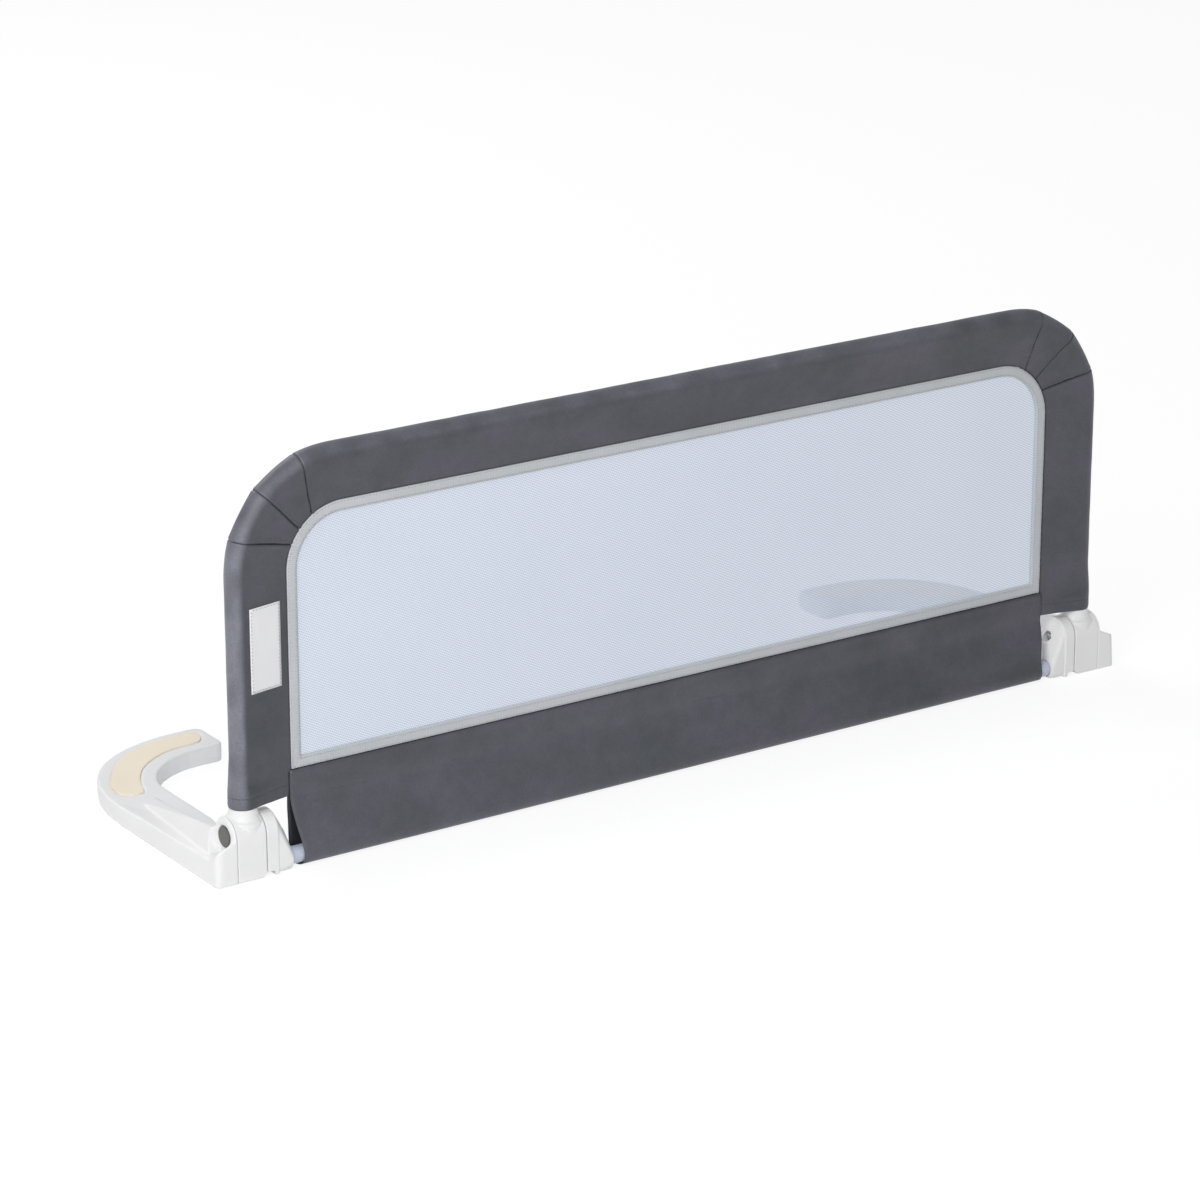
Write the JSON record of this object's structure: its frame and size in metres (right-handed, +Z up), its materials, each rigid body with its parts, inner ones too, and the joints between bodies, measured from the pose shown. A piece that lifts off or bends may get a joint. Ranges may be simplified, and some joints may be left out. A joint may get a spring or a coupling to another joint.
{
  "type": "folding bed guard rail",
  "caption": "Bed guard rail: tube frame in a sewn cover with a mesh window, on hooked feet that slide under the mattress and fold up flat behind it.",
  "frame": {"origin": "middle of the floor area that the rail covers, on the plane that its feet and joints rest on", "axes": "+X along the bed side, +Y the way the feet point under the mattress, +Z up"},
  "size_m": [1.0584, 0.33, 0.3968],
  "materials": {
    "slate_fabric": "woven polyester",
    "pale_mesh": "knitted mesh",
    "pale_binding": "woven tape",
    "blank_patch": "smooth, bare",
    "white_plastic": "fine moulded grain",
    "grey_plastic": "moulded",
    "cream_rubber": "matt",
    "steel_tube": "powder coat",
    "bright_steel": "zinc plated"
  },
  "bodies": {
    "frame": {"left_post_tube": "steel_tube", "left_post_screw": "bright_steel", "left_hinge_block": "white_plastic", "left_inner_bracket": "white_plastic", "left_pivot_bolt": "bright_steel", "left_pivot_nut": "bright_steel", "left_lock_spring": "bright_steel", "left_post_sleeve": "slate_fabric", "left_lower_gusset": "slate_fabric", "left_upper_gusset": "slate_fabric", "right_post_tube": "steel_tube", "right_post_screw": "bright_steel", "right_hinge_block": "white_plastic", "right_inner_bracket": "white_plastic", "right_pivot_bolt": "bright_steel", "right_pivot_nut": "bright_steel", "right_lock_spring": "bright_steel", "right_post_sleeve": "slate_fabric", "right_lower_gusset": "slate_fabric", "right_upper_gusset": "slate_fabric", "top_tube": "steel_tube", "right_cross_tube": "steel_tube", "left_cross_tube": "steel_tube", "top_sleeve": "slate_fabric", "window_binding": "pale_binding", "window_mesh": "pale_mesh", "lower_panel": "slate_fabric", "sewn_patch": "blank_patch"},
    "left_foot": {"left_foot_arm": "white_plastic", "left_grip_pad": "cream_rubber"},
    "left_button": {"left_release_button": "grey_plastic"},
    "left_lock": {"left_lock_gear": "grey_plastic"},
    "right_foot": {"right_foot_arm": "white_plastic", "right_grip_pad": "cream_rubber"},
    "right_button": {"right_release_button": "grey_plastic"},
    "right_lock": {"right_lock_gear": "grey_plastic"}
  },
  "joints": [
    {"name": "left_foot_fold", "type": "hinge", "parent": "frame", "child": "left_foot", "pos_m": [0, -0.146, 0.041], "axis": [1, 0, 0], "range_deg": [0, 90]},
    {"name": "left_lock_slide", "type": "slide", "parent": "frame", "child": "left_lock", "axis": [1, 0, 0], "range_m": [0, 0.0036], "stiffness_N_per_m": 500, "springref_m": -0.006, "deforming": ["left_lock_spring"]},
    {"name": "left_button_press", "type": "slide", "parent": "left_foot", "child": "left_button", "axis": [1, 0, 0], "range_m": [0, 0.0036]},
    {"name": "right_foot_fold", "type": "hinge", "parent": "frame", "child": "right_foot", "pos_m": [0, -0.146, 0.041], "axis": [1, 0, 0], "range_deg": [0, 90]},
    {"name": "right_lock_slide", "type": "slide", "parent": "frame", "child": "right_lock", "axis": [-1, 0, 0], "range_m": [0, 0.0036], "stiffness_N_per_m": 500, "springref_m": -0.006, "deforming": ["right_lock_spring"]},
    {"name": "right_button_press", "type": "slide", "parent": "right_foot", "child": "right_button", "axis": [-1, 0, 0], "range_m": [0, 0.0036]}
  ],
  "couplings": [
    {"joint": "left_button_press", "follows": "left_lock_slide", "ratio": 1},
    {"joint": "right_button_press", "follows": "right_lock_slide", "ratio": 1}
  ]
}
